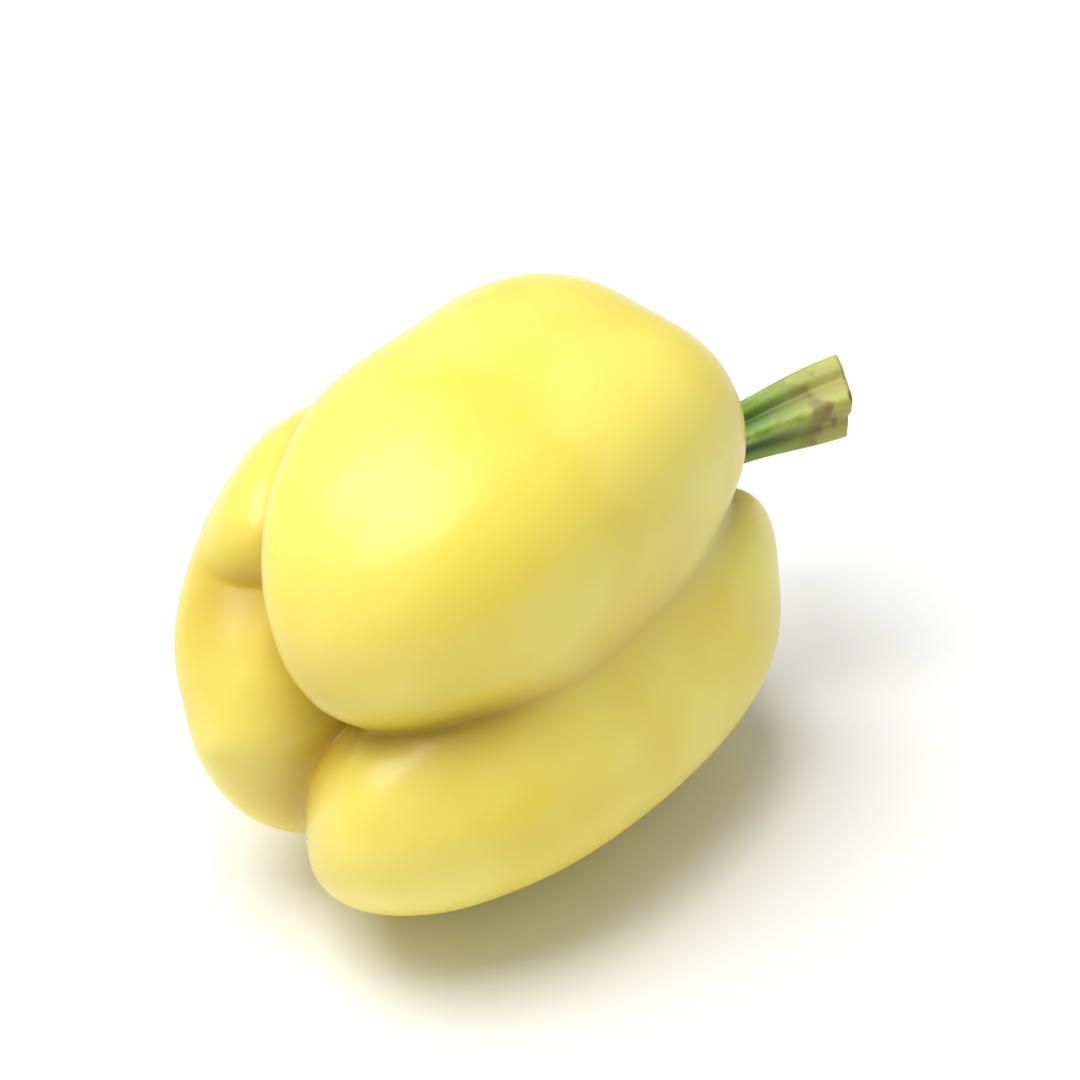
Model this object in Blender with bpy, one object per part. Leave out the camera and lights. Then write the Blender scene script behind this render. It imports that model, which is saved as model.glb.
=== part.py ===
# Bell pepper: a pale yellow fruit of four lobes lying on its side, with its calyx and its cut stalk.
# Metres, +Z up. The fruit lies along X, its blossom end towards -X and its stalk towards +X.
# The origin is on the surface that it lies on, under the middle of the box round it.
import math

import bmesh
import bpy
import numpy as np

MM = 0.001

# Sizes are in millimetres, and the fruit is drawn on an axis through its middle, along X.
# A turn is in degrees round that axis, clockwise from the top as seen from the blossom end.
# A pair holds the value at the blossom end and the value at the shoulder.
LOBES = {
    "top": {"turn": 5, "twist": -1, "offset": (12, 25), "reach": (30, 23.5),
            "breadth": (30.5, 29.5), "ends": (-43.5, 47.5)},
    "right": {"turn": 154, "twist": 6, "offset": (20, 17.5), "reach": (25.5, 26.5),
              "breadth": (28.5, 31.5), "ends": (-46.5, 60)},
    "left": {"turn": 239, "twist": -9, "offset": (16, 14), "reach": (24.5, 19.5),
             "breadth": (35, 35), "ends": (-45.5, 45)},
    "far": {"turn": 291, "twist": -7, "offset": (20.5, 15.5), "reach": (25.5, 20.5),
            "breadth": (24, 21.5), "ends": (-37.5, 48)},
}
SECTION_POWER = 2.6
END_POWERS = (2.15, 2.65)
CORE = {"radius": 30.5, "ends": (-23, 35), "power": 3}
GROOVE_FILL = 1.6

# A crease is cut where two lobes meet. Its depth is at the blossom end, along the middle and at the
# shoulder, and it is as wide on each of the two lobes as its widths say. Where creases meet,
# they join smoothly and the deepest one holds most.
CREASES = [
    {"between": ("top", "right"), "depth": (2.5, 0.5, 1.5), "widths": (6, 13)},
    {"between": ("top", "left"), "depth": (6, 1.5, 2), "widths": (7, 14)},
    {"between": ("top", "far"), "depth": (2, 1.5, 2), "widths": (6, 8)},
    {"between": ("left", "far"), "depth": (1.2, 0.8, 2), "widths": (6, 6)},
    {"between": ("right", "left"), "depth": (5.5, 2, 2), "widths": (11, 9)},
    {"between": ("right", "far"), "depth": (3, 1, 2), "widths": (6, 6)},
]
BLOSSOM_FADE = (-28, -8)
SHOULDER_FADE = (25, 45)
CREASE_ROUNDING = 1.1
CREASE_JOINING = 2.5
THIRD_LOBE_REACH = 3.0
LOBE_FILL = (1.1, 2.6)
CAVITY = {"along": 47, "depth": 9, "spread": 9}
SWELLINGS = [
    {"turn": 333, "along": 33, "height": 4.2, "spread": 10.5},
    {"turn": 59, "along": 49.5, "height": 3.8, "spread": 13.5},
    {"turn": 182, "along": -26, "height": 4.3, "spread": 15.5},
    {"turn": 208, "along": 0, "height": 3.5, "spread": 17},
]
SWELLING_RADIUS = 32

# How the fruit lies: turned about its axis, then its shoulder raised, then pressed on the surface.
ROLL = 0.0
SHOULDER_RAISED = -3.0
PRESSED = 0.5

# The skin is found along rays from seeds inside the flesh: fans at both ends and a barrel between.
SEED_RADIUS = 12
SEED_ENDS = (-24, 24)
SIDES = 72
TURNS = np.arange(SIDES) * 360 / SIDES
FAN_ROWS = 15
BARREL_ROWS = 15
POLE_CROWDING = 1.4
MARCH_STEP = 0.75
HALVINGS = 16

CLEARANCE = 0.3
CALYX_RINGS = 7
CALYX_RADIUS = 12.5
CALYX_POINTS = 5
CALYX_POINT_LENGTH = 5.0
CALYX_FIRST_POINT = 12
CALYX_EDGE = 1.1
CALYX_HOLLOWS = 0.4
SKIN_PROBE = np.linspace(1, 0.3, 50)
SEAT_RADIUS = 7.0
SEAT_FILLET = 4.0

STALK_SIDES = 30
STALK_RINGS = 14
STALK_LENGTH = 43
STALK_BEND = (-15, 6)
STALK_RADII = (6.5, 4.5, 6.8)
STALK_WAIST = 0.3
STALK_RIBS = 5
STALK_RIB_HEIGHT = 0.8
RIBS_GROWN = 0.2
CUT_SLANT = 1.4
CUT_SLANT_POWER = 6
CUT_FACE_RIM = 0.72
CUT_FACE_RIM_DEPTH = 0.5
CUT_DISH = 0.9


def clear_scene():
    for old in list(bpy.data.objects):
        bpy.data.objects.remove(old)


def outward(turn):
    """Unit vectors square to the fruit's axis at these turns."""
    angle = np.radians(turn)
    return np.stack([np.zeros_like(angle), -np.sin(angle), np.cos(angle)], -1)


def smooth(share):
    share = np.clip(share, 0, 1)
    return share * share * (3 - 2 * share)


def lobe_gap(points, lobe):
    """How far points are outside one lobe, below zero inside it."""
    low, high = lobe["ends"]
    share = np.clip((points[:, 0] - low) / (high - low), 0, 1)
    angle = np.radians(lobe["turn"] + lobe["twist"] * (share - 0.5))
    offset = lobe["offset"][0] + (lobe["offset"][1] - lobe["offset"][0]) * share
    reach = lobe["reach"][0] + (lobe["reach"][1] - lobe["reach"][0]) * share
    breadth = lobe["breadth"][0] + (lobe["breadth"][1] - lobe["breadth"][0]) * share
    out = points[:, 2] * np.cos(angle) - points[:, 1] * np.sin(angle) - offset
    side = points[:, 2] * np.sin(angle) + points[:, 1] * np.cos(angle)
    n = SECTION_POWER
    section = (np.abs(out / reach) ** n + np.abs(side / breadth) ** n) ** (1 / n)
    middle, half = (low + high) / 2, (high - low) / 2
    m = np.where(points[:, 0] < middle, *END_POWERS)
    size = (section ** m + np.abs((points[:, 0] - middle) / half) ** m) ** (1 / m)
    return (size - 1) * min(lobe["reach"][0], lobe["breadth"][0])


def core_gap(points):
    """How far points are outside the rounded core, which is the bottom of every groove."""
    low, high = CORE["ends"]
    n = CORE["power"]
    across = np.hypot(points[:, 1], points[:, 2]) / CORE["radius"]
    along = np.abs(points[:, 0] - (low + high) / 2) / ((high - low) / 2)
    return ((across ** n + along ** n) ** (1 / n) - 1) * CORE["radius"]


def blended(gaps, fill):
    """One form out of several, with the grooves between them filled."""
    nearest = gaps.min(0)
    return nearest - fill * np.log(np.exp((nearest - gaps) / fill).sum(0))


def creased_lobes(points):
    """The four lobes in one form, with a crease between each two."""
    gaps = {name: lobe_gap(points, lobe) for name, lobe in LOBES.items()}
    nearest = np.min(list(gaps.values()), axis=0)
    middle = smooth((points[:, 0] - BLOSSOM_FADE[0]) / (BLOSSOM_FADE[1] - BLOSSOM_FADE[0]))
    shoulder = smooth((points[:, 0] - SHOULDER_FADE[0]) / (SHOULDER_FADE[1] - SHOULDER_FADE[0]))
    form = blended(np.stack(list(gaps.values())), LOBE_FILL[0] + (LOBE_FILL[1] - LOBE_FILL[0]) * middle)
    cuts = []
    for crease in CREASES:
        one, other = [gaps[name] for name in crease["between"]]
        tip, along, top = crease["depth"]
        depth = tip + (along - tip) * middle + (top - along) * shoulder
        apart = np.hypot(other - one, CREASE_ROUNDING) - CREASE_ROUNDING
        share = np.clip(apart / np.where(other > one, *crease["widths"]), 0, 1)
        covered = (np.minimum(one, other) - nearest) / THIRD_LOBE_REACH
        cuts.append(depth * (1 - share) ** 2 * np.exp(-covered))
    return form + (np.stack(cuts) ** CREASE_JOINING).sum(0) ** (1 / CREASE_JOINING)


def fruit_gap(points):
    """The creased lobes on the core, with the swellings of the skin and the stem cavity."""
    gap = blended(np.stack([creased_lobes(points), core_gap(points)]), GROOVE_FILL)
    from_cavity = points[:, 1] ** 2 + points[:, 2] ** 2 + (points[:, 0] - CAVITY["along"]) ** 2
    gap = gap + CAVITY["depth"] * np.exp(-from_cavity / (2 * CAVITY["spread"] ** 2))
    for swelling in SWELLINGS:
        centre = SWELLING_RADIUS * outward(swelling["turn"])
        centre[0] = swelling["along"]
        away = ((points - centre) ** 2).sum(1)
        gap = gap - swelling["height"] * np.exp(-away / (2 * swelling["spread"] ** 2))
    return gap


def skin(seeds, ways):
    """Where rays from seeds inside the flesh first leave it."""
    inside = np.zeros(len(seeds))
    going = np.arange(len(seeds))
    while len(going):
        ahead = seeds[going] + ways[going] * (inside[going] + MARCH_STEP)[:, None]
        going = going[fruit_gap(ahead) < 0]
        inside[going] += MARCH_STEP
    low, high = inside, inside + MARCH_STEP
    for _ in range(HALVINGS):
        middle = (low + high) / 2
        within = fruit_gap(seeds + ways * middle[:, None]) < 0
        low, high = np.where(within, middle, low), np.where(within, high, middle)
    return seeds + ways * low[:, None]


def skin_normals(points):
    step = 0.2
    slope = [fruit_gap(points + step * e) - fruit_gap(points - step * e) for e in np.eye(3)]
    slope = np.stack(slope, -1)
    return slope / np.linalg.norm(slope, axis=1)[:, None]


def poles():
    """The points on the axis at the bottom of the blossom hollow and of the stem cavity."""
    return skin(np.zeros((2, 3)), np.array([[-1.0, 0, 0], [1.0, 0, 0]]))


def fan(end, turns, shares):
    """Skin points round one end, where share 0 is square to the axis and share 1 is the pole."""
    facing = math.copysign(1, SEED_ENDS[end])
    last = math.atan2((poles()[end][0] - SEED_ENDS[end]) * facing, -SEED_RADIUS)
    turns, angle = np.broadcast_arrays(turns, last * shares)
    out = outward(turns)
    ways = out * np.cos(angle)[..., None]
    ways[..., 0] = facing * np.sin(angle)
    seeds = out * SEED_RADIUS + [SEED_ENDS[end], 0, 0]
    return skin(seeds.reshape(-1, 3), ways.reshape(-1, 3)).reshape(ways.shape)


def fruit_rings():
    """Rings of skin points from the blossom pole to the shoulder pole, without the poles."""
    shares = 1 - (1 - (np.arange(FAN_ROWS)[:, None] + 1) / (FAN_ROWS + 1)) ** POLE_CROWDING
    along = np.linspace(*SEED_ENDS, BARREL_ROWS)[:, None, None]
    out = np.tile(outward(TURNS), (BARREL_ROWS, 1, 1))
    seeds = out * SEED_RADIUS + along * [1, 0, 0]
    barrel = skin(seeds.reshape(-1, 3), out.reshape(-1, 3)).reshape(out.shape)
    return np.concatenate([fan(0, TURNS, shares[::-1]), barrel, fan(1, TURNS, shares)])


def calyx_rings():
    """The calyx from under its middle out to its points, and back over the top to its seat."""
    profile = fan(1, TURNS, SKIN_PROBE[:, None])
    steps = np.linalg.norm(np.diff(profile, axis=0), axis=-1)
    walked = np.concatenate([np.zeros((1, SIDES)), np.cumsum(steps, axis=0)])
    wave = np.cos(np.radians((TURNS - CALYX_FIRST_POINT) * CALYX_POINTS))
    rim = CALYX_RADIUS + CALYX_POINT_LENGTH * np.maximum(wave, -CALYX_HOLLOWS) ** 3
    ring_shares = np.linspace(0, 1, CALYX_RINGS + 1)[1:]
    reached = np.outer(ring_shares, rim)
    places = [np.interp(reached[:, i], walked[:, i], SKIN_PROBE) for i in range(SIDES)]
    on_skin = fan(1, TURNS, np.array(places).T)
    normals = skin_normals(on_skin.reshape(-1, 3)).reshape(on_skin.shape)
    under = on_skin + normals * CLEARANCE
    top = under + normals * (CALYX_EDGE * (2 - ring_shares))[:, None, None]
    from_axis = np.hypot(on_skin[..., 1], on_skin[..., 2])
    seat = top[from_axis < SEAT_RADIUS][:, 0].max()
    rise = smooth((from_axis - SEAT_RADIUS) / SEAT_FILLET)
    top[..., 0] = seat * (1 - rise) + top[..., 0] * rise
    return np.concatenate([under, top[::-1]]), seat


def stalk_rings(start):
    """Rings square to the stalk's bent centre line, from the seat to the slanting cut."""
    turns = np.arange(STALK_SIDES) * 360 / STALK_SIDES
    foot, waist, end = STALK_RADII
    rings, cut = [], None
    for share in np.linspace(0, 1, STALK_RINGS):
        centre = start + [STALK_LENGTH * share, STALK_BEND[0] * share ** 2, STALK_BEND[1] * share ** 2]
        along = np.array([STALK_LENGTH, 2 * STALK_BEND[0] * share, 2 * STALK_BEND[1] * share])
        along = along / np.linalg.norm(along)
        side = np.cross(along, [0, 0, 1])
        side = side / np.linalg.norm(side)
        up = np.cross(side, along)
        radius = foot + (waist - foot) * smooth(share / STALK_WAIST) + (end - waist) * smooth(share * 2 - 1)
        rib = STALK_RIB_HEIGHT * np.cos(np.radians(turns * STALK_RIBS)) * smooth(share / RIBS_GROWN)
        angle = np.radians(turns)
        ring = (radius + rib)[:, None] * (np.cos(angle)[:, None] * up + np.sin(angle)[:, None] * side)
        slant = CUT_SLANT * np.cos(angle) * share ** CUT_SLANT_POWER
        rings.append(centre + ring + slant[:, None] * along)
        cut = centre
    face = cut + (rings[-1] - cut) * CUT_FACE_RIM - along * CUT_FACE_RIM_DEPTH
    return rings + [face], cut - along * CUT_DISH


def lie_down(points):
    """Turns points on the fruit's axis to the way that the fruit lies, before it is pressed."""
    roll, raised = math.radians(ROLL), math.radians(SHOULDER_RAISED)
    x, y, z = points[..., 0], points[..., 1], points[..., 2]
    y, z = y * math.cos(roll) - z * math.sin(roll), y * math.sin(roll) + z * math.cos(roll)
    x, z = x * math.cos(raised) - z * math.sin(raised), x * math.sin(raised) + z * math.cos(raised)
    return np.stack([x, y, z], -1)


def closed_body(name, first, rings, last, colour, roughness):
    """One closed body of rings between two end points, which are in metres."""
    mesh = bmesh.new()
    start = mesh.verts.new(first)
    loops = [[mesh.verts.new(point) for point in ring] for ring in rings]
    finish = mesh.verts.new(last)
    count = len(loops[0])
    for i in range(count):
        j = (i + 1) % count
        mesh.faces.new((start, loops[0][j], loops[0][i]))
        mesh.faces.new((finish, loops[-1][i], loops[-1][j]))
        for near, far in zip(loops, loops[1:]):
            mesh.faces.new((near[i], near[j], far[j], far[i]))
    bmesh.ops.triangulate(mesh, faces=mesh.faces)
    bmesh.ops.recalc_face_normals(mesh, faces=mesh.faces)
    data = bpy.data.meshes.new(name)
    mesh.to_mesh(data)
    mesh.free()
    data.shade_smooth()
    data.set_sharp_from_angle(angle=math.radians(50))
    body = bpy.data.objects.new(name, data)
    bpy.context.scene.collection.objects.link(body)
    material = bpy.data.materials.new(name)
    material.use_nodes = True
    shader = material.node_tree.nodes["Principled BSDF"]
    shader.inputs["Base Color"].default_value = (*colour, 1)
    shader.inputs["Roughness"].default_value = roughness
    shader.inputs["Metallic"].default_value = 0
    data.materials.append(material)


def main():
    clear_scene()
    blossom, cavity = poles()
    fruit = [blossom, fruit_rings(), cavity]
    rings, seat = calyx_rings()
    calyx = [cavity + [CLEARANCE, 0, 0], rings, np.array([seat, 0, 0])]
    start = np.array([seat + CLEARANCE, 0, 0])
    rings, cut = stalk_rings(start)
    stalk = [start, np.array(rings), cut]
    bodies = [[lie_down(piece) for piece in body] for body in (fruit, calyx, stalk)]
    everything = np.concatenate([body[1].reshape(-1, 3) for body in bodies])
    low, high = everything.min(0), everything.max(0)
    origin = np.array([(low[0] + high[0]) / 2, (low[1] + high[1]) / 2, low[2] + PRESSED])
    placed = [[(piece - origin) * MM for piece in body] for body in bodies]
    for ring in placed[0][1]:
        ring[:, 2] = np.maximum(ring[:, 2], 0)
    closed_body("fruit", *placed[0], colour=(0.93, 0.83, 0.28), roughness=0.3)
    closed_body("calyx", *placed[1], colour=(0.25, 0.40, 0.10), roughness=0.5)
    closed_body("stalk", *placed[2], colour=(0.32, 0.44, 0.14), roughness=0.5)


main()
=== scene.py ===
import math

import bpy
import numpy as np
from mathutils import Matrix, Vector


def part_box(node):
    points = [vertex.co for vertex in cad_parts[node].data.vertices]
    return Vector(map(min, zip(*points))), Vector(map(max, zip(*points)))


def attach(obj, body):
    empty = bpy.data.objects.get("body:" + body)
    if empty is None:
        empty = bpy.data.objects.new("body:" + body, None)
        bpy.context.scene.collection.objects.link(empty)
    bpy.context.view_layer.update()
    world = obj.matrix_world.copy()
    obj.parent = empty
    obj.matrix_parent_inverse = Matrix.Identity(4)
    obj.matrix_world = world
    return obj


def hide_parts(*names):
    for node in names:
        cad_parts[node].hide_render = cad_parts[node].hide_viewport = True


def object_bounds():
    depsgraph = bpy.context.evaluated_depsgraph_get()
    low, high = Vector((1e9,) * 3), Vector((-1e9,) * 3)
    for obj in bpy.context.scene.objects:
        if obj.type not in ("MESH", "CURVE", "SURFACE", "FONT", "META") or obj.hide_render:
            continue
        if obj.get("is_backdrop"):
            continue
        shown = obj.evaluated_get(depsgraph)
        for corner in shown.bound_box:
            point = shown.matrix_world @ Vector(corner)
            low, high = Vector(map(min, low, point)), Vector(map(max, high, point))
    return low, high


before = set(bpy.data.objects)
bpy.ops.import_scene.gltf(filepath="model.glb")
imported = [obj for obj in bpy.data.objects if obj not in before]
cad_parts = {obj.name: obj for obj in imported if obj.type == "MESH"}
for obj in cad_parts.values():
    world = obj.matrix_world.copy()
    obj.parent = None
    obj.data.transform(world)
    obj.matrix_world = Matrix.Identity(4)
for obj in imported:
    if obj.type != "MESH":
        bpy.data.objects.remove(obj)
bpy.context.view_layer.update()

mm = 0.001


def linear(hexColour):
    # sRGB hex to the linear colour that Blender's sockets take
    parts = [int(hexColour[i:i + 2], 16) / 255 for i in (1, 3, 5)]
    return [c / 12.92 if c < 0.04045 else ((c + 0.055) / 1.055) ** 2.4 for c in parts] + [1]


def addNode(tree, kind, inputs={}, **settings):
    # one node with its settings; an input is a plain value or the socket that feeds it
    node = tree.nodes.new(kind)
    for name, value in settings.items():
        setattr(node, name, value)
    for name, value in inputs.items():
        if isinstance(value, bpy.types.NodeSocket):
            tree.links.new(value, node.inputs[name])
        else:
            node.inputs[name].default_value = value
    return node


def mathOf(tree, operation, a, b):
    return addNode(tree, "ShaderNodeMath", {0: a, 1: b}, operation=operation).outputs[0]


def ramp(tree, value, low, high):
    # 0 at low, 1 at high, eased at both ends
    return addNode(tree, "ShaderNodeMapRange", {"Value": value, "From Min": low, "From Max": high},
                   interpolation_type="SMOOTHSTEP").outputs[0]


def mixed(tree, share, a, b):
    return addNode(tree, "ShaderNodeMix", {0: share, 6: a, 7: b}, data_type="RGBA").outputs[2]


def smooth(share):
    share = np.clip(share, 0, 1)
    return share * share * (3 - 2 * share)


def eased(value, ends):
    # 0 at the first end, 1 at the second
    return smooth((value - ends[0]) / (ends[1] - ends[0]))


# the fruit's form, in millimetres on its own axis: x runs from the blossom end to the shoulder,
# and a turn is in degrees, clockwise from the top as seen from the blossom end
fruitForm = {
    "lobes": {  # a pair holds the value at the blossom end and the value at the shoulder
        "top": {"turn": 5, "twist": -1, "offset": (12, 25), "reach": (30, 23.5),
                "breadth": (30.5, 29.5), "ends": (-43.5, 47.5)},
        "right": {"turn": 154, "twist": 6, "offset": (20, 17.5), "reach": (25.5, 26.5),
                  "breadth": (28.5, 31.5), "ends": (-46.5, 60)},
        "left": {"turn": 239, "twist": -9, "offset": (16, 14), "reach": (24.5, 19.5),
                 "breadth": (35, 35), "ends": (-45.5, 45)},
        "far": {"turn": 291, "twist": -7, "offset": (20.5, 15.5), "reach": (25.5, 20.5),
                "breadth": (24, 21.5), "ends": (-37.5, 48)},
    },
    "sectionPower": 2.6, "endPowers": (2.15, 2.65),
    "core": {"radius": 30.5, "ends": (-23, 35), "power": 3}, "grooveFill": 1.6,
    "creases": [  # two lobes, depth at the blossom end, middle and shoulder, width on each lobe
        ("top", "right", (2.5, 0.5, 1.5), (6, 13)),
        ("top", "left", (6, 1.5, 2), (7, 14)),
        ("top", "far", (2, 1.5, 2), (6, 8)),
        ("left", "far", (1.2, 0.8, 2), (6, 6)),
        ("right", "left", (5.5, 2, 2), (11, 9)),
        ("right", "far", (3, 1, 2), (6, 6)),
    ],
    "blossomFade": (-28, -8), "shoulderFade": (25, 45), "creaseRounding": 1.1, "creaseJoining": 2.5,
    "thirdLobeReach": 3.0, "lobeFill": (1.1, 2.6),
    "cavity": {"along": 47, "depth": 9, "spread": 9},
    "swellings": [  # turn, along, height, spread
        (333, 33, 4.2, 10.5), (59, 49.5, 3.8, 13.5), (182, -26, 4.3, 15.5), (208, 0, 3.5, 17)],
    "swellingRadius": 32,
    "shoulderRaised": -3,  # degrees
    "pressed": 0.5,  # flat where it lies
    "seedRadius": 12, "seedEnds": (-24, 24), "marchStep": 0.75, "halvings": 14, "slopeStep": 0.2,
    "sides": 320, "fanRows": 80, "barrelRows": 80, "poleCrowding": 1.3,
}


def outward(turn):
    # unit vectors square to the fruit's axis at these turns
    angle = np.radians(turn)
    return np.stack([np.zeros_like(angle), -np.sin(angle), np.cos(angle)], -1)


def lobeGap(points, lobe):
    # how far points are outside one lobe
    low, high = lobe["ends"]
    share = np.clip((points[:, 0] - low) / (high - low), 0, 1)
    offset, reach, breadth = [lobe[name][0] + (lobe[name][1] - lobe[name][0]) * share
                              for name in ("offset", "reach", "breadth")]
    angle = np.radians(lobe["turn"] + lobe["twist"] * (share - 0.5))
    out = points[:, 2] * np.cos(angle) - points[:, 1] * np.sin(angle) - offset
    side = points[:, 2] * np.sin(angle) + points[:, 1] * np.cos(angle)
    n = fruitForm["sectionPower"]
    section = (np.abs(out / reach) ** n + np.abs(side / breadth) ** n) ** (1 / n)
    middle, half = (low + high) / 2, (high - low) / 2
    m = np.where(points[:, 0] < middle, *fruitForm["endPowers"])
    size = (section ** m + np.abs((points[:, 0] - middle) / half) ** m) ** (1 / m)
    return (size - 1) * min(lobe["reach"][0], lobe["breadth"][0])


def coreGap(points):
    # how far points are outside the rounded core, which is the bottom of every groove
    core = fruitForm["core"]
    low, high = core["ends"]
    across = np.hypot(points[:, 1], points[:, 2]) / core["radius"]
    along = np.abs(points[:, 0] - (low + high) / 2) / ((high - low) / 2)
    return ((across ** core["power"] + along ** core["power"]) ** (1 / core["power"]) - 1) * core["radius"]


def blended(gaps, fill):
    # one form out of several, with the grooves between them filled
    nearest = gaps.min(0)
    return nearest - fill * np.log(np.exp((nearest - gaps) / fill).sum(0))


def creasedLobes(points):
    # the four lobes in one form, with a crease between each two
    form = fruitForm
    gaps = {name: lobeGap(points, lobe) for name, lobe in form["lobes"].items()}
    nearest = np.min(list(gaps.values()), axis=0)
    middle, shoulder = [eased(points[:, 0], form[name]) for name in ("blossomFade", "shoulderFade")]
    fill = form["lobeFill"][0] + (form["lobeFill"][1] - form["lobeFill"][0]) * middle
    cuts = []
    for one, other, (tip, along, top), widths in form["creases"]:
        depth = tip + (along - tip) * middle + (top - along) * shoulder
        apart = np.hypot(gaps[other] - gaps[one], form["creaseRounding"]) - form["creaseRounding"]
        share = np.clip(apart / np.where(gaps[other] > gaps[one], *widths), 0, 1)
        covered = (np.minimum(gaps[one], gaps[other]) - nearest) / form["thirdLobeReach"]
        cuts.append(depth * (1 - share) ** 2 * np.exp(-covered))
    joining = form["creaseJoining"]
    cut = (np.stack(cuts) ** joining).sum(0) ** (1 / joining)
    return blended(np.stack(list(gaps.values())), fill) + cut


def fruitGap(points):
    # the creased lobes on the core, with the stem cavity and the swellings of the skin
    gap = blended(np.stack([creasedLobes(points), coreGap(points)]), fruitForm["grooveFill"])
    cavity = fruitForm["cavity"]
    fromCavity = points[:, 1] ** 2 + points[:, 2] ** 2 + (points[:, 0] - cavity["along"]) ** 2
    gap = gap + cavity["depth"] * np.exp(-fromCavity / (2 * cavity["spread"] ** 2))
    for turn, along, height, spread in fruitForm["swellings"]:
        centre = fruitForm["swellingRadius"] * outward(turn)
        centre[0] = along
        gap = gap - height * np.exp(-((points - centre) ** 2).sum(1) / (2 * spread ** 2))
    return gap


def skin(seeds, ways):
    # where rays from seeds inside the flesh first leave it
    inside = np.zeros(len(seeds))
    going = np.arange(len(seeds))
    step = fruitForm["marchStep"]
    while len(going):
        ahead = seeds[going] + ways[going] * (inside[going] + step)[:, None]
        going = going[fruitGap(ahead) < 0]
        inside[going] += step
    low, high = inside, inside + step
    for _ in range(fruitForm["halvings"]):
        middle = (low + high) / 2
        within = fruitGap(seeds + ways * middle[:, None]) < 0
        low, high = np.where(within, middle, low), np.where(within, high, middle)
    return seeds + ways * low[:, None]


def skinNormals(points):
    ways = np.eye(3) * fruitForm["slopeStep"]
    slope = np.stack([fruitGap(points + way) - fruitGap(points - way) for way in ways], -1)
    return slope / np.linalg.norm(slope, axis=1)[:, None]


def poles():
    # the points on the axis at the bottom of the blossom hollow and of the stem cavity
    return skin(np.zeros((2, 3)), np.array([[-1.0, 0, 0], [1.0, 0, 0]]))


def fan(end, turns, shares):
    # skin points round one end: share 0 is square to the axis, share 1 is the pole
    seedEnd, radius = fruitForm["seedEnds"][end], fruitForm["seedRadius"]
    facing = math.copysign(1, seedEnd)
    last = math.atan2((poles()[end][0] - seedEnd) * facing, -radius)
    turns, angle = np.broadcast_arrays(turns, last * shares)
    out = outward(turns)
    ways = out * np.cos(angle)[..., None]
    ways[..., 0] = facing * np.sin(angle)
    seeds = out * radius + [seedEnd, 0, 0]
    return skin(seeds.reshape(-1, 3), ways.reshape(-1, 3)).reshape(ways.shape)


def fruitRings():
    # rings of skin points from the blossom pole to the shoulder pole
    turns = np.arange(fruitForm["sides"]) * 360 / fruitForm["sides"]
    rows = fruitForm["fanRows"]
    shares = 1 - (1 - (np.arange(rows)[:, None] + 1) / (rows + 1)) ** fruitForm["poleCrowding"]
    along = np.linspace(*fruitForm["seedEnds"], fruitForm["barrelRows"])[:, None, None]
    out = np.tile(outward(turns), (fruitForm["barrelRows"], 1, 1))
    seeds = out * fruitForm["seedRadius"] + along * [1, 0, 0]
    barrel = skin(seeds.reshape(-1, 3), out.reshape(-1, 3)).reshape(out.shape)
    return np.concatenate([fan(0, turns, shares[::-1]), barrel, fan(1, turns, shares)])


def lieDown(points):
    # turns points on the fruit's axis to the way that the fruit lies
    raised = math.radians(fruitForm["shoulderRaised"])
    x, y, z = points[..., 0], points[..., 1], points[..., 2]
    x, z = x * math.cos(raised) - z * math.sin(raised), x * math.sin(raised) + z * math.cos(raised)
    return np.stack([x, y, z], -1)


def closedPiece(name, first, rings, last, values={}):
    # one closed mesh of rings between two end points, with values per point kept as attributes
    rings = np.asarray(rings)
    rows, sides = rings.shape[:2]
    points = np.concatenate([[first], rings.reshape(-1, 3), [last]])
    i = np.arange(sides)
    j = (i + 1) % sides
    k = 1 + np.arange(rows - 1)[:, None] * sides
    quads = np.stack([k + i, k + i + sides, k + j + sides, k + j], -1).reshape(-1, 4)
    final = 1 + (rows - 1) * sides
    caps = [(1 + a, 1 + b, 0) for a, b in zip(i, j)]
    caps += [(rows * sides + 1, final + b, final + a) for a, b in zip(i, j)]
    a, b, c, d = [points[quads[:, n]] for n in range(4)]
    volume = sum(np.einsum("ij,ij->i", a, np.cross(p, q)).sum() for p, q in ((b, c), (c, d)))
    faces = quads.tolist() + [list(cap) for cap in caps]
    if volume < 0:  # then they face inwards
        faces = [face[::-1] for face in faces]
    mesh = bpy.data.meshes.new(name)
    mesh.from_pydata(points.tolist(), [], faces)
    for key, field in values.items():
        layer = mesh.attributes.new(key, "FLOAT", "POINT")
        field = np.concatenate([[field[0].mean()], np.ravel(field), [field[-1].mean()]])
        layer.data.foreach_set("value", field.astype(np.float32))
    mesh.update()
    mesh.shade_smooth()
    piece = bpy.data.objects.new(name, mesh)
    bpy.context.scene.collection.objects.link(piece)
    return piece


def baked(piece, group, values):
    # puts a geometry tree on a piece, then turns the result into the piece's plain mesh
    modifier = piece.modifiers.new(group.name, "NODES")
    modifier.node_group = group
    for item in group.interface.items_tree:
        if item.item_type == "SOCKET" and item.in_out == "INPUT" and item.name in values:
            modifier[item.identifier] = values[item.name]
    graph = bpy.context.evaluated_depsgraph_get()
    made = bpy.data.meshes.new_from_object(piece.evaluated_get(graph), preserve_all_data_layers=True,
                                           depsgraph=graph)
    piece.modifiers.clear()
    piece.data = made
    made.name = piece.name
    return piece


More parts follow.
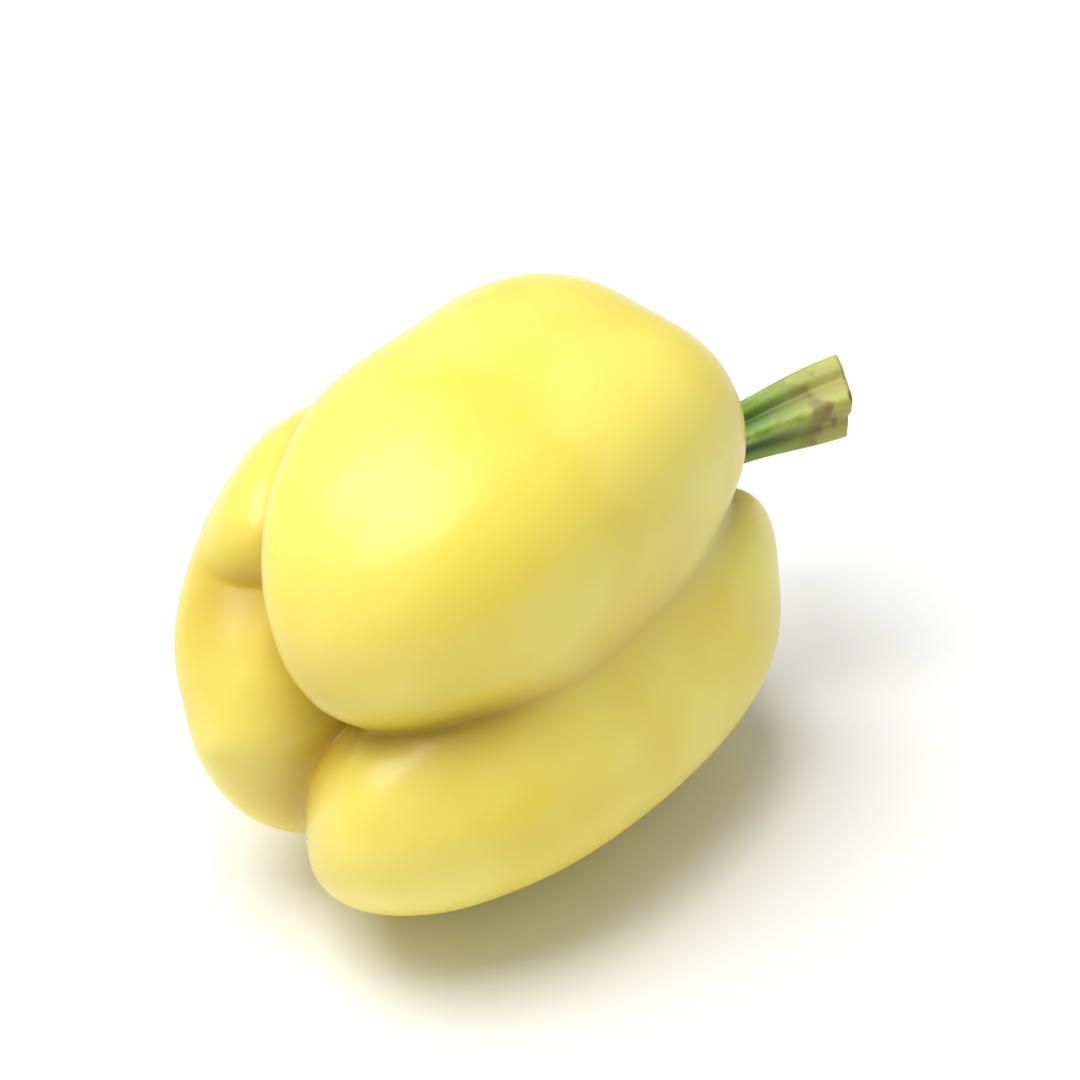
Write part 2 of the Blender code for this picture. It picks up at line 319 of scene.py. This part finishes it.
def newTree(name, inputs):
    # a geometry tree with one named input for each size
    tree = bpy.data.node_groups.new(name, "GeometryNodeTree")
    kinds = {float: "NodeSocketFloat", int: "NodeSocketInt", bpy.types.Material: "NodeSocketMaterial"}
    tree.interface.new_socket("Geometry", in_out="INPUT", socket_type="NodeSocketGeometry")
    for label, default in inputs.items():
        socket = tree.interface.new_socket(label, in_out="INPUT", socket_type=kinds[type(default)])
        if not isinstance(default, bpy.types.Material):
            socket.default_value = default
    tree.interface.new_socket("Geometry", in_out="OUTPUT", socket_type="NodeSocketGeometry")
    return tree, addNode(tree, "NodeGroupInput").outputs


def onFruit(piece, node):
    # nothing on the part moves, so every piece rides on the root
    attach(piece, "root")
    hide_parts(node)


# the skin's colours, with a deeper yellow and painted shade for the grooves, the sizes of its patterns in
# millimetres, and how it shines
skinLook = {
    "lemon": "#F7E86C", "butter": "#F2DD52", "pale": "#F9EF90", "grooveTintAndShade": "#B69212", "scar": "#8A6A3A",
    "patchSize": 30, "patchEdges": (0.38, 0.66), "tipShare": 0.3, "grooveTintAndShadeShare": 0.95,
    "speckSize": 1.4, "speckEdge": 0.32, "speckShare": 0.16,  # specks are drawn coarser than real ones
    "grainSize": 0.9, "grainHeight": 0.05, "grainStrength": 0.12,
    "gloss": (0.31, 0.44), "wax": 0.25, "waxGloss": 0.2, "refraction": 1.42,
    "translucence": 0.14, "glowReach": (1.0, 0.92, 0.3), "glowDepth": 5.0,
}


def skinMaterial():
    # waxy bell pepper skin: thin, smooth and a little see-through, deeper yellow with painted shade in the
    # grooves and the blossom hollow
    look = skinLook
    material = bpy.data.materials.new("waxyPepperSkin")
    material.use_nodes = True
    tree = material.node_tree
    shader = tree.nodes["Principled BSDF"]
    place = addNode(tree, "ShaderNodeTexCoord").outputs["Object"]
    tip, creaseTintAndShade, scar = [addNode(tree, "ShaderNodeAttribute", attribute_name=key).outputs["Fac"]
                         for key in ("tip", "creaseTintAndShade", "scar")]
    patches = addNode(tree, "ShaderNodeTexNoise", {"Vector": place, "Scale": 1 / (look["patchSize"] * mm),
                                                   "Detail": 2.0, "Roughness": 0.5}).outputs["Fac"]
    specks = addNode(tree, "ShaderNodeTexVoronoi", {"Vector": place, "Scale": 1 / (look["speckSize"] * mm)})
    dots = mathOf(tree, "SUBTRACT", 1.0, ramp(tree, specks.outputs["Distance"], 0.0, look["speckEdge"]))
    patchy = ramp(tree, patches, *look["patchEdges"])
    colour = mixed(tree, patchy, linear(look["lemon"]), linear(look["butter"]))
    # the crease field paints deeper yellow and painted shade into the grooves and the blossom hollow
    for field, share, tint in ((tip, "tipShare", "pale"), (dots, "speckShare", "pale"),
                               (creaseTintAndShade, "grooveTintAndShadeShare", "grooveTintAndShade")):
        colour = mixed(tree, mathOf(tree, "MULTIPLY", field, look[share]), colour, linear(look[tint]))
    colour = mixed(tree, scar, colour, linear(look["scar"]))
    grain = addNode(tree, "ShaderNodeTexNoise", {"Vector": place, "Scale": 1 / (look["grainSize"] * mm),
                                                 "Detail": 3.0})
    bump = addNode(tree, "ShaderNodeBump", {"Height": grain.outputs["Fac"], "Strength": look["grainStrength"],
                                            "Distance": look["grainHeight"] * mm})
    rough = addNode(tree, "ShaderNodeMapRange", {"Value": patches, "To Min": look["gloss"][0],
                                                 "To Max": look["gloss"][1]})
    tree.links.new(colour, shader.inputs["Base Color"])
    tree.links.new(rough.outputs[0], shader.inputs["Roughness"])
    tree.links.new(bump.outputs[0], shader.inputs["Normal"])
    shader.inputs["Subsurface Weight"].default_value = look["translucence"]
    shader.inputs["Subsurface Radius"].default_value = look["glowReach"]
    shader.inputs["Subsurface Scale"].default_value = look["glowDepth"] * mm
    shader.inputs["Coat Weight"].default_value = look["wax"]
    shader.inputs["Coat Roughness"].default_value = look["waxGloss"]
    shader.inputs["IOR"].default_value = look["refraction"]
    return material


# swells and ripples of the skin, in millimetres
relief = {"Swell height": 0.7, "Swell size": 22.0, "Ripple height": 0.12, "Ripple size": 6.0}


def reliefTree(material):
    # lifts the skin along its normals in low swells and finer ripples, which follow the fruit's length
    inputs = {name: float(value) for name, value in relief.items()}
    tree, given = newTree("skinRelief", {**inputs, "Skin": material})
    place = addNode(tree, "GeometryNodeInputPosition").outputs[0]
    drawnOut = (0.6, 1.0, 1.0)  # less than one draws the pattern out along the fruit
    drawn = addNode(tree, "ShaderNodeVectorMath", {0: place, 1: drawnOut}, operation="MULTIPLY").outputs[0]
    total = None
    for name, seed in (("Swell", 3.0), ("Ripple", 8.0)):
        scale = mathOf(tree, "DIVIDE", 1.0, mathOf(tree, "MULTIPLY", given[name + " size"], mm))
        noise = addNode(tree, "ShaderNodeTexNoise", {"Vector": drawn, "W": seed, "Detail": 1.0, "Scale": scale},
                        noise_dimensions="4D")
        centred = mathOf(tree, "SUBTRACT", noise.outputs["Fac"], 0.5)
        height = mathOf(tree, "MULTIPLY", given[name + " height"], 2 * mm)
        lift = mathOf(tree, "MULTIPLY", centred, height)
        total = lift if total is None else mathOf(tree, "ADD", total, lift)
    normal = addNode(tree, "GeometryNodeInputNormal").outputs[0]
    offset = addNode(tree, "ShaderNodeVectorMath", {0: normal, "Scale": total}, operation="SCALE").outputs[0]
    moved = addNode(tree, "GeometryNodeSetPosition", {"Geometry": given["Geometry"], "Offset": offset})
    real = addNode(tree, "GeometryNodeRealizeInstances", {"Geometry": moved.outputs[0]})
    coated = addNode(tree, "GeometryNodeSetMaterial", {"Geometry": real.outputs[0], "Material": given["Skin"]})
    addNode(tree, "NodeGroupOutput", {"Geometry": coated.outputs[0]})
    return tree


blossomPole, cavityPole = poles()
rings = fruitRings()
laidLow = lieDown(rings).reshape(-1, 3).min(0)
fruitLow = np.array(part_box("fruit")[0]) / mm
origin = np.array([laidLow[0] - fruitLow[0], laidLow[1] - fruitLow[1], laidLow[2] + fruitForm["pressed"]])


def placed(points):
    # from the fruit's own axis to the frame of the CAD, in metres
    return (lieDown(np.asarray(points)) - origin) * mm


# where the skin changes colour, in millimetres; the creases and the blossom hollow get deeper yellow with
# painted shade
skinPlaces = {
    "creaseWidth": 3.6, "shallowShare": 0.35, "deepCrease": (36, 22),  # from the fruit's axis
    "hollowReach": 11, "hollowTintAndShadeShare": 0.7, "scarEdge": (1.2, 2.8),  # from the blossom pole
    "middle": 3, "tips": (28, 52),  # along the fruit, and how far from there
}


def makeFruit():
    places = skinPlaces
    flat = rings.reshape(-1, 3)
    # painted shade with a deeper yellow: strongest in the creases between lobes, more where they run deep near
    # the axis, and round the blossom hollow
    gaps = np.sort([lobeGap(flat, lobe) for lobe in fruitForm["lobes"].values()], 0)
    deep = eased(np.hypot(flat[:, 1], flat[:, 2]), places["deepCrease"])
    creaseTintAndShade = np.exp(-(gaps[1] - gaps[0]) / places["creaseWidth"])
    creaseTintAndShade = creaseTintAndShade * (places["shallowShare"] + (1 - places["shallowShare"]) * deep)
    fromPole = np.linalg.norm(flat - blossomPole, axis=1)
    hollowTintAndShade = places["hollowTintAndShadeShare"] * np.exp(-fromPole ** 2 / (2 * places["hollowReach"] ** 2))
    fields = {"creaseTintAndShade": np.maximum(creaseTintAndShade, hollowTintAndShade),
              "tip": eased(np.abs(flat[:, 0] - places["middle"]), places["tips"]),
              "scar": 1 - eased(fromPole, places["scarEdge"])}
    fields = {key: field.reshape(rings.shape[:2]) for key, field in fields.items()}
    piece = closedPiece("fruitSkin", placed(blossomPole), placed(rings), placed(cavityPole), fields)
    material = skinMaterial()
    piece.data.materials.append(material)
    baked(piece, reliefTree(material), {**relief, "Skin": material})
    spots = np.empty(len(piece.data.vertices) * 3, np.float32)
    piece.data.vertices.foreach_get("co", spots)
    spots[2::3] = np.maximum(spots[2::3], 0)  # pressed flat where it lies
    piece.data.vertices.foreach_set("co", spots)
    piece.data.update()
    onFruit(piece, "fruit")
    print("fruit skin:", len(piece.data.polygons), "faces")


makeFruit()

# the calyx in the stem cavity, in millimetres
calyxForm = {
    "radius": 12.5, "points": 5, "pointLength": 5.0, "firstPoint": 12, "hollows": 0.4,
    "edge": 1.1, "rimRounding": 0.1, "clearance": 0.3, "seatRadius": 7.0, "seatFillet": 4.0,
    "veinHeight": 0.35, "veinSharpness": 8, "paleSharpness": 6,
    "sides": 240, "rows": 26, "probeEnd": 0.3, "probeRows": 50,
}
greenLook = {
    "leaf": "#74982F", "light": "#AFC25C", "darkGreenAndFurrowShade": "#436A18", "stain": "#6A3026", "cut": "#D8CC7E",
    "pith": "#9C9654", "blush": "#C6BC62",
    "grainSize": 1.6, "grainHeight": 0.15, "grainStrength": 0.5, "blotchSize": 6, "lightShare": 0.8,
    "blushFrom": 0.62, "blushShare": 0.7, "stainFrom": 0.72, "stainShare": 0.85,  # along the stalk
    "gloss": (0.34, 0.57), "translucence": 0.08, "glowReach": (0.6, 1.0, 0.3), "glowDepth": 1.5,
}


def calyxRings():
    # from under the calyx's middle out to its points, and back over the top to its seat
    form = calyxForm
    turns = np.arange(form["sides"]) * 360 / form["sides"]
    probe = np.linspace(1, form["probeEnd"], form["probeRows"])
    profile = fan(1, turns, probe[:, None])
    steps = np.linalg.norm(np.diff(profile, axis=0), axis=-1)
    walked = np.concatenate([np.zeros((1, len(turns))), np.cumsum(steps, axis=0)])
    wave = np.cos(np.radians((turns - form["firstPoint"]) * form["points"]))
    rim = form["radius"] + form["pointLength"] * np.maximum(wave, -form["hollows"]) ** 3
    shares = np.linspace(0, 1, form["rows"] + 1)[1:]
    reached = np.outer(shares, rim)
    places = [np.interp(reached[:, i], walked[:, i], probe) for i in range(len(turns))]
    onSkin = fan(1, turns, np.array(places).T)
    normals = skinNormals(onSkin.reshape(-1, 3)).reshape(onSkin.shape)
    under = onSkin + normals * form["clearance"]
    ridge = np.maximum(wave, 0)
    vein = ridge ** form["veinSharpness"] * form["veinHeight"] * np.sin(np.pi * np.sqrt(shares))[:, None]
    rounded = np.sqrt(np.clip((1.02 - shares) / form["rimRounding"], 0.15, 1))
    thick = form["edge"] * (2 - shares) * rounded
    top = under + normals * (thick[:, None] + vein)[..., None]
    fromAxis = np.hypot(onSkin[..., 1], onSkin[..., 2])
    seat = top[fromAxis < form["seatRadius"]][:, 0].max()
    rise = smooth((fromAxis - form["seatRadius"]) / form["seatFillet"])
    top[..., 0] = seat * (1 - rise) + top[..., 0] * rise
    pale = np.tile(ridge ** form["paleSharpness"], (2 * len(shares), 1))
    out = 0.3 * np.tile(shares[:, None], (1, len(turns)))  # too low for the blush of the stalk's end
    fields = {"rib": pale, "along": np.concatenate([out, out[::-1]]), "cut": np.zeros(pale.shape)}
    return np.concatenate([under, top[::-1]]), seat, fields


def greenMaterial(name, drawnOut):
    # fresh green stalk: satin, with pale ribs, painted shade in the furrows, short streaks, and purple stain
    # near the cut
    look = greenLook
    material = bpy.data.materials.new(name)
    material.use_nodes = True
    tree = material.node_tree
    shader = tree.nodes["Principled BSDF"]
    place = addNode(tree, "ShaderNodeTexCoord").outputs["Object"]
    streaks = addNode(tree, "ShaderNodeMapping", {"Vector": place, "Scale": drawnOut}).outputs[0]
    grain = addNode(tree, "ShaderNodeTexNoise", {"Vector": streaks, "Scale": 1 / (look["grainSize"] * mm),
                                                 "Detail": 3.0}).outputs["Fac"]
    blotch = addNode(tree, "ShaderNodeTexNoise", {"Vector": place, "Scale": 1 / (look["blotchSize"] * mm),
                                                  "Detail": 2.0}).outputs["Fac"]
    rib, along, cut = [addNode(tree, "ShaderNodeAttribute", attribute_name=key).outputs["Fac"]
                       for key in ("rib", "along", "cut")]
    light = mathOf(tree, "MULTIPLY", ramp(tree, rib, 0.6, 1.0), ramp(tree, grain, 0.35, 0.65))
    blush = ramp(tree, along, look["blushFrom"], 1.0)
    stain = mathOf(tree, "MULTIPLY", ramp(tree, along, look["stainFrom"], 1.0), ramp(tree, blotch, 0.5, 0.62))
    # painted shade: the dark green fills the stalk's furrows between its ribs; on the calyx it is the colour
    # away from the pale veins
    colour = mixed(tree, ramp(tree, rib, 0.1, 0.8), linear(look["darkGreenAndFurrowShade"]), linear(look["leaf"]))
    for field, tint in ((light, "light"), (blush, "blush"), (stain, "stain")):
        colour = mixed(tree, mathOf(tree, "MULTIPLY", field, look[tint + "Share"]), colour, linear(look[tint]))
    colour = mixed(tree, cut, colour, linear(look["cut"]))
    colour = mixed(tree, ramp(tree, cut, 1.2, 2.0), colour, linear(look["pith"]))
    bump = addNode(tree, "ShaderNodeBump", {"Height": grain, "Strength": look["grainStrength"],
                                            "Distance": look["grainHeight"] * mm})
    rough = addNode(tree, "ShaderNodeMapRange", {"Value": grain, "To Min": look["gloss"][0],
                                                 "To Max": look["gloss"][1]})
    tree.links.new(colour, shader.inputs["Base Color"])
    tree.links.new(rough.outputs[0], shader.inputs["Roughness"])
    tree.links.new(bump.outputs[0], shader.inputs["Normal"])
    shader.inputs["Subsurface Weight"].default_value = look["translucence"]
    shader.inputs["Subsurface Radius"].default_value = look["glowReach"]
    shader.inputs["Subsurface Scale"].default_value = look["glowDepth"] * mm
    return material


def makeCalyx():
    clearance = calyxForm["clearance"]
    collar, seat, fields = calyxRings()
    piece = closedPiece("calyxCollar", placed(cavityPole + [clearance, 0, 0]), placed(collar),
                        placed([seat, 0, 0]), fields)
    piece.data.materials.append(greenMaterial("calyxGreen", (1.0, 1.0, 1.0)))
    onFruit(piece, "calyx")
    print("calyx:", len(piece.data.polygons), "faces")
    return seat


# the stalk in millimetres, with places along it as shares of its length
stalkForm = {
    "length": 43, "bend": (-15, 6), "radii": (6.5, 4.5, 6.8), "waistAt": 0.3,
    "ribs": 5, "ribHeight": 0.8, "ribTwist": 0.5, "ribsGrown": 0.2,
    "fineRibs": 15, "fineHeight": 0.12, "fineTwist": 2,
    "slant": 1.4, "slantPower": 6, "dish": 0.9, "dishSteepness": 1.6, "bundleDepth": 0.8,
    "pithEdge": (0.35, 0.55),  # from the rim of the cut face to its middle
    "sides": 180, "rows": 90, "faceRows": 14,
}


def makeStalk(start):
    # rings square to the bent centre line up to the slanting cut, then in over the dished cut face
    form = stalkForm
    angle = np.arange(form["sides"]) * 2 * np.pi / form["sides"]
    foot, waist, end = form["radii"]
    bendAside, bendUp = form["bend"]
    stack, fields = [], {"rib": [], "along": [], "cut": []}
    for share in np.linspace(0, 1, form["rows"]):
        centre = start + [form["length"] * share, bendAside * share ** 2, bendUp * share ** 2]
        along = np.array([form["length"], 2 * bendAside * share, 2 * bendUp * share])
        along = along / np.linalg.norm(along)
        side = np.cross(along, [0, 0, 1])
        side = side / np.linalg.norm(side)
        up = np.cross(side, along)
        radius = foot + (waist - foot) * smooth(share / form["waistAt"])
        radius = radius + (end - waist) * smooth(share * 2 - 1)
        wave = np.cos(angle * form["ribs"] + form["ribTwist"] * share)
        fine = np.cos(angle * form["fineRibs"] + form["fineTwist"] * share)
        rib = (form["ribHeight"] * wave + form["fineHeight"] * fine) * smooth(share / form["ribsGrown"])
        ring = (radius + rib)[:, None] * (np.cos(angle)[:, None] * up + np.sin(angle)[:, None] * side)
        slant = form["slant"] * np.cos(angle) * share ** form["slantPower"]
        stack.append(centre + ring + slant[:, None] * along)
        fields["rib"].append((wave + 1) / 2)
        fields["along"].append(np.full(len(angle), share))
        fields["cut"].append(np.zeros(len(angle)))
    rim = stack[-1]
    for inward in np.linspace(0, 1, form["faceRows"] + 2)[1:-1]:
        sunk = form["dish"] * smooth(inward * form["dishSteepness"])
        stack.append(centre + (rim - centre) * (1 - inward) - along * sunk)
        fields["rib"].append(fields["rib"][-1])
        fields["along"].append(np.full(len(angle), 0.9))
        fields["cut"].append(np.full(len(angle), 1 + eased(inward, form["pithEdge"])))
    fields = {key: np.array(field) for key, field in fields.items()}
    piece = closedPiece("cutStalk", placed(start), placed(stack), placed(centre - along * form["dish"]), fields)
    piece.data.materials.append(greenMaterial("stalkGreen", (0.25, 1.0, 1.0)))
    onFruit(piece, "stalk")
    print("stalk:", len(piece.data.polygons), "faces")
    return centre - along * form["dish"] * form["bundleDepth"], along, up, side, end


# sizes in millimetres, with the ring as a share of the cut face's radius
bundles = {"Bundles": 22, "Ring share": 0.66, "Thickness": 0.55, "Rise": 0.45, "Seed": 4}


def bundleTree(material):
    # a ring of vascular bundles, as small blunt ends standing in the cut face
    inputs = {name: float(value) for name, value in bundles.items()}
    inputs.update({"Bundles": bundles["Bundles"], "Seed": bundles["Seed"], "Face radius": 6.0})
    tree, given = newTree("cutBundles", {**inputs, "Tissue": material})
    ringShare = mathOf(tree, "MULTIPLY", given["Face radius"], given["Ring share"])
    ringRadius = mathOf(tree, "MULTIPLY", ringShare, mm)
    circle = addNode(tree, "GeometryNodeMeshCircle", {"Vertices": given["Bundles"], "Radius": ringRadius})
    thick = mathOf(tree, "MULTIPLY", given["Thickness"], mm)
    ball = addNode(tree, "GeometryNodeMeshIcoSphere", {"Radius": thick, "Subdivisions": 2})
    smoothBall = addNode(tree, "GeometryNodeSetShadeSmooth", {"Geometry": ball.outputs[0]})
    size = addNode(tree, "FunctionNodeRandomValue", {2: 0.55, 3: 1.0, "Seed": given["Seed"]}, data_type="FLOAT")
    aside, raised = 0.6 * mm, 0.2 * mm
    nudge = addNode(tree, "FunctionNodeRandomValue", {0: (-aside, -aside, 0.0), 1: (aside, aside, raised),
                                                      "Seed": given["Seed"]}, data_type="FLOAT_VECTOR")
    moved = addNode(tree, "GeometryNodeSetPosition", {"Geometry": circle.outputs[0],
                                                      "Offset": nudge.outputs[0]})
    put = addNode(tree, "GeometryNodeInstanceOnPoints", {
        "Points": moved.outputs[0], "Instance": smoothBall.outputs[0], "Scale": size.outputs[1]})
    flat = addNode(tree, "ShaderNodeCombineXYZ", {0: 1.0, 1: 1.0, 2: given["Rise"]})
    squashed = addNode(tree, "GeometryNodeScaleInstances", {"Instances": put.outputs[0],
                                                            "Scale": flat.outputs[0]})
    real = addNode(tree, "GeometryNodeRealizeInstances", {"Geometry": squashed.outputs[0]})
    coated = addNode(tree, "GeometryNodeSetMaterial", {"Geometry": real.outputs[0],
                                                       "Material": given["Tissue"]})
    addNode(tree, "NodeGroupOutput", {"Geometry": coated.outputs[0]})
    return tree


bundleLook = {"tan": "#B9AE66", "brown": "#8A8148", "blotchSize": 1.2, "bumpHeight": 0.1, "bumpStrength": 0.4,
              "gloss": 0.6}


def bundleMaterial():
    # drying cut tissue: tan, dull, darker in small blotches
    look = bundleLook
    material = bpy.data.materials.new("cutBundleTan")
    material.use_nodes = True
    tree = material.node_tree
    shader = tree.nodes["Principled BSDF"]
    place = addNode(tree, "ShaderNodeTexCoord").outputs["Object"]
    blotch = addNode(tree, "ShaderNodeTexNoise", {"Vector": place, "Scale": 1 / (look["blotchSize"] * mm),
                                                  "Detail": 2.0}).outputs["Fac"]
    colour = mixed(tree, ramp(tree, blotch, 0.35, 0.65), linear(look["tan"]), linear(look["brown"]))
    bump = addNode(tree, "ShaderNodeBump", {"Height": blotch, "Strength": look["bumpStrength"],
                                            "Distance": look["bumpHeight"] * mm})
    tree.links.new(colour, shader.inputs["Base Color"])
    tree.links.new(bump.outputs[0], shader.inputs["Normal"])
    shader.inputs["Roughness"].default_value = look["gloss"]
    return material


def makeBundles(middle, along, up, side, faceRadius):
    piece = bpy.data.objects.new("cutBundles", bpy.data.meshes.new("cutBundles"))
    bpy.context.scene.collection.objects.link(piece)
    material = bundleMaterial()
    baked(piece, bundleTree(material), {**bundles, "Face radius": faceRadius, "Tissue": material})
    spots = np.array([v.co for v in piece.data.vertices]) / mm
    spots = middle + spots[:, :1] * up + spots[:, 1:2] * side + spots[:, 2:] * along
    piece.data.vertices.foreach_set("co", placed(spots).astype(np.float32).ravel())
    if np.dot(np.cross(up, side), along) < 0:
        piece.data.flip_normals()
    piece.data.update()
    onFruit(piece, "stalk")
    print("cut bundles:", len(piece.data.polygons), "faces")


seat = makeCalyx()
cut = makeStalk(np.array([seat + calyxForm["clearance"], 0, 0]))
makeBundles(*cut)

studio = {
    "floor": "#F4F4F4", "floorRoughness": 0.9, "floorSize": 8, "floorDrop": 0.2, "worldGlow": 0.38,
    "keyPower": 43.0, "keySize": 1.5,
    "keyPlace": (-0.6, -0.1, 1.85),  # metres to the camera's right, away from it and up
}
cameraPlace = {
    "turn": 52.34,  # degrees from the camera's right to the fruit's axis
    "elevation": 35, "halfView": 15,  # degrees
    "distance": 532.27,  # millimetres
    "seenAt": (494.29, 611.87),  # the fruit's middle, in pixels of the 1080 square frame
    "zoom": 1.6,
}


def makeStudio():
    bpy.ops.mesh.primitive_plane_add(size=studio["floorSize"], location=(0, 0, -studio["floorDrop"] * mm))
    floor = bpy.context.object
    floor.name = "paleFloor"
    material = bpy.data.materials.new("paleFloor")
    material.use_nodes = True
    shader = material.node_tree.nodes["Principled BSDF"]
    shader.inputs["Base Color"].default_value = linear(studio["floor"])
    shader.inputs["Roughness"].default_value = studio["floorRoughness"]
    floor.data.materials.append(material)
    floor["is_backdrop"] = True
    world = bpy.data.worlds.new("softWhite")
    world.use_nodes = True
    world.node_tree.nodes["Background"].inputs[0].default_value = (1, 1, 1, 1)
    world.node_tree.nodes["Background"].inputs[1].default_value = studio["worldGlow"]
    bpy.context.scene.world = world


def turnedToView():
    # turns the camera's own right, forward and up, level with the floor, to the frame
    psi = math.radians(cameraPlace["turn"])
    return np.array([[math.cos(psi), math.sin(psi), 0], [-math.sin(psi), math.cos(psi), 0], [0, 0, 1]])


def aimed(thing, place):
    # puts a camera or a light there, facing the middle of the part
    bpy.context.scene.collection.objects.link(thing)
    thing.location = Vector(place)
    low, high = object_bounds()
    thing.rotation_mode = "QUATERNION"
    thing.rotation_quaternion = ((low + high) / 2 - thing.location).to_track_quat("-Z", "Y")


def makeCamera():
    place = cameraPlace
    rise = math.radians(place["elevation"])
    focal = 540 / math.tan(math.radians(place["halfView"]))
    forward = np.array([0, math.cos(rise), -math.sin(rise)])
    up = np.array([0, math.sin(rise), math.cos(rise)])
    px, py = place["seenAt"]
    middle = place["distance"] * (forward + [(px - 540) / focal, 0, 0] + up * (540 - py) / focal)
    camera = bpy.data.objects.new("camera", bpy.data.cameras.new("camera"))
    aimed(camera, (turnedToView() @ -middle - origin) * mm)
    camera.data.sensor_width = 36
    camera.data.lens = 18 / math.tan(math.radians(place["halfView"])) * place["zoom"]
    camera.data.clip_start, camera.data.clip_end = 0.01, 20
    bpy.context.scene.camera = camera


def makeKey():
    key = bpy.data.objects.new("softKey", bpy.data.lights.new("softKey", "AREA"))
    aimed(key, turnedToView() @ np.array(studio["keyPlace"]))
    key.data.energy, key.data.size = studio["keyPower"], studio["keySize"]


makeStudio()
makeCamera()
makeKey()
bpy.context.scene.view_settings.view_transform = "Standard"
print("studio and camera ready")
